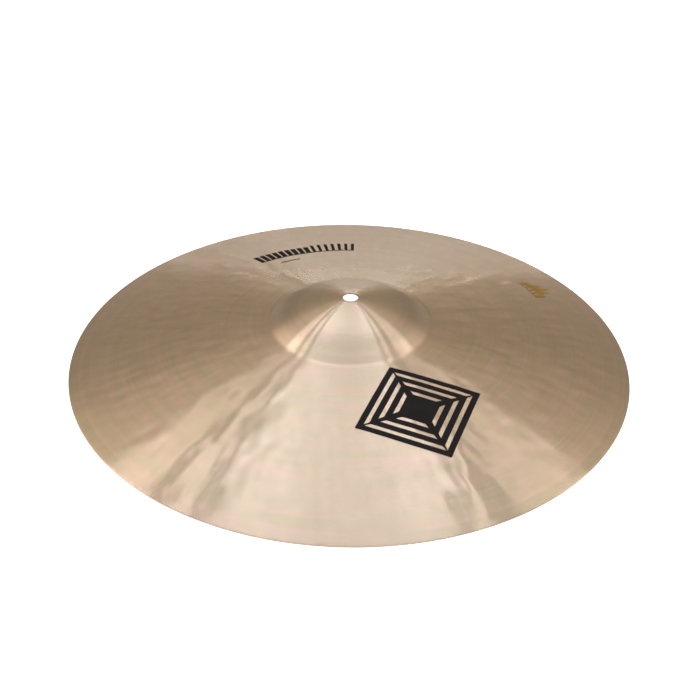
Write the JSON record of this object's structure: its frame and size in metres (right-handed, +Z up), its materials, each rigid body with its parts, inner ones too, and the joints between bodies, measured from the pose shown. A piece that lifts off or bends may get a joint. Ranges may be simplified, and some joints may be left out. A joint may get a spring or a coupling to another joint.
{
  "type": "crash cymbal",
  "caption": "Thin round hammered bronze cymbal with a gently domed bow, a raised bell and a centre hole for a stand; plain geometric marks are printed on top.",
  "frame": {"origin": "centre of the plane of the rim's lower edge, on the axis of the centre hole", "axes": "+Z up along the hole's axis, from the open underside towards the bell; +X to the right and -Y towards the viewer, who sees the large emblem at the right in front"},
  "size_m": [0.4572, 0.4572, 0.0501],
  "materials": {
    "bronze": "cast, hammered and lathed tin bronze, satin, unlacquered",
    "black_ink": "screen-printed black ink",
    "gold_ink": "screen-printed dull gold ink"
  },
  "bodies": {
    "root": {"cymbal": "bronze", "emblem_print": "black_ink", "title_print": "black_ink", "small_line_print": "black_ink", "ornament_print": "gold_ink"}
  },
  "joints": []
}
